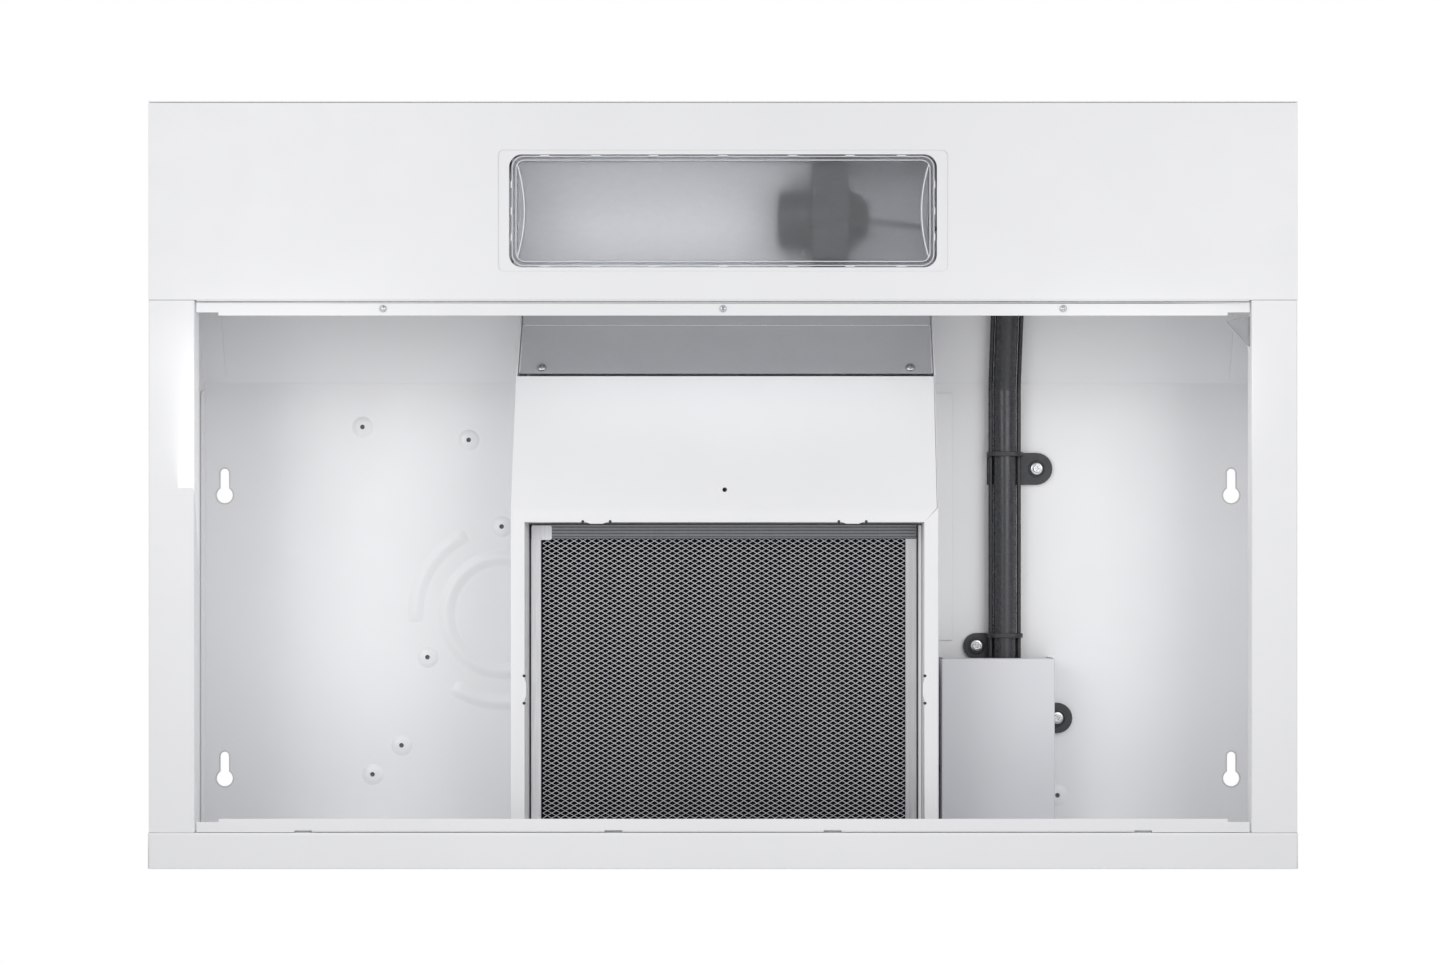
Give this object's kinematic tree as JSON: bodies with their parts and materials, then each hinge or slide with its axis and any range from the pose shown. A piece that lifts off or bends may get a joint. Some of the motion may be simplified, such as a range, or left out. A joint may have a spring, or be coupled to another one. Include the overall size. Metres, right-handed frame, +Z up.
{
  "type": "under cabinet range hood",
  "caption": "Shallow white sheet-metal hood for under a cabinet, with a mesh filter and fan housing in the middle, a front work light and two rocker switches.",
  "frame": {"origin": "centre of the flat top face that is screwed up to the cabinet", "axes": "+X to the right, +Y to the wall behind, +Z up to the cabinet"},
  "size_m": [0.76, 0.5114, 0.14],
  "materials": {
    "white_enamel": "satin",
    "galvanised_steel": "satin",
    "zinc_screw": "satin",
    "aluminium": "satin",
    "filter_pad": "matte",
    "black_plastic": "satin",
    "box_enamel": "satin",
    "frosted_lens": "satin",
    "motor_iron": "satin"
  },
  "bodies": {
    "hood": {"top_panel": "white_enamel", "left_side_panel": "white_enamel", "right_side_panel": "white_enamel", "back_panel": "white_enamel", "front_fascia": "white_enamel", "light_pan": "white_enamel", "front_rail": "white_enamel", "rear_rail": "white_enamel", "rail_screw_left": "zinc_screw", "rail_screw_centre": "zinc_screw", "rail_screw_right": "zinc_screw", "corner_gusset": "galvanised_steel", "top_knockout": "white_enamel", "rear_knockout": "white_enamel", "blower_housing": "white_enamel", "filter_throat": "white_enamel", "fan_deck": "galvanised_steel", "outlet_duct": "galvanised_steel", "outlet_screw_left": "zinc_screw", "outlet_screw_right": "zinc_screw", "motor_bracket": "galvanised_steel", "fan_motor": "motor_iron", "lamp_reflector": "galvanised_steel", "lamp_socket": "black_plastic", "socket_bracket": "black_plastic", "light_switch_body": "black_plastic", "fan_switch_body": "black_plastic", "wiring_box_cover": "box_enamel", "harness_sleeve": "black_plastic", "lamp_lead": "black_plastic", "switch_lead": "black_plastic", "motor_lead": "black_plastic", "cable_clamp_1": "black_plastic", "clamp_screw_1": "zinc_screw", "cable_clamp_2": "black_plastic", "clamp_screw_2": "zinc_screw", "cable_clamp_3": "black_plastic", "clamp_screw_3": "zinc_screw", "wire_nut_1": "black_plastic", "wire_nut_2": "black_plastic", "wire_nut_3": "black_plastic", "ground_screw": "zinc_screw"},
    "fan": {"fan_blade": "aluminium", "motor_shaft": "zinc_screw", "blade_nut": "zinc_screw"},
    "light_rocker_body": {"light_rocker": "black_plastic"},
    "fan_rocker_body": {"fan_rocker": "black_plastic"},
    "filter": {"filter_frame": "aluminium", "filter_mesh_lower": "aluminium", "filter_pad": "filter_pad", "filter_mesh_upper": "aluminium"},
    "lens": {"light_lens": "frosted_lens"}
  },
  "joints": [
    {"name": "fan_spin", "type": "hinge", "parent": "hood", "child": "fan", "pos_m": [0, 0.048, -0.05], "axis": [0, 0, 1], "continuous": true},
    {"name": "light_rocker_tilt", "type": "hinge", "parent": "hood", "child": "light_rocker_body", "pos_m": [0.2873, -0.34, -0.096], "axis": [1, 0, 0], "range_deg": [-7, 7]},
    {"name": "fan_rocker_tilt", "type": "hinge", "parent": "hood", "child": "fan_rocker_body", "pos_m": [0.312, -0.34, -0.096], "axis": [1, 0, 0], "range_deg": [-7, 7]},
    {"name": "filter_swing", "type": "hinge", "parent": "hood", "child": "filter", "pos_m": [-0.001, 0.159, -0.074], "axis": [1, 0, 0], "range_deg": [0, 40]},
    {"name": "lens_release", "type": "slide", "parent": "hood", "child": "lens", "axis": [0, 0, -1], "range_m": [0, 0.06]}
  ]
}
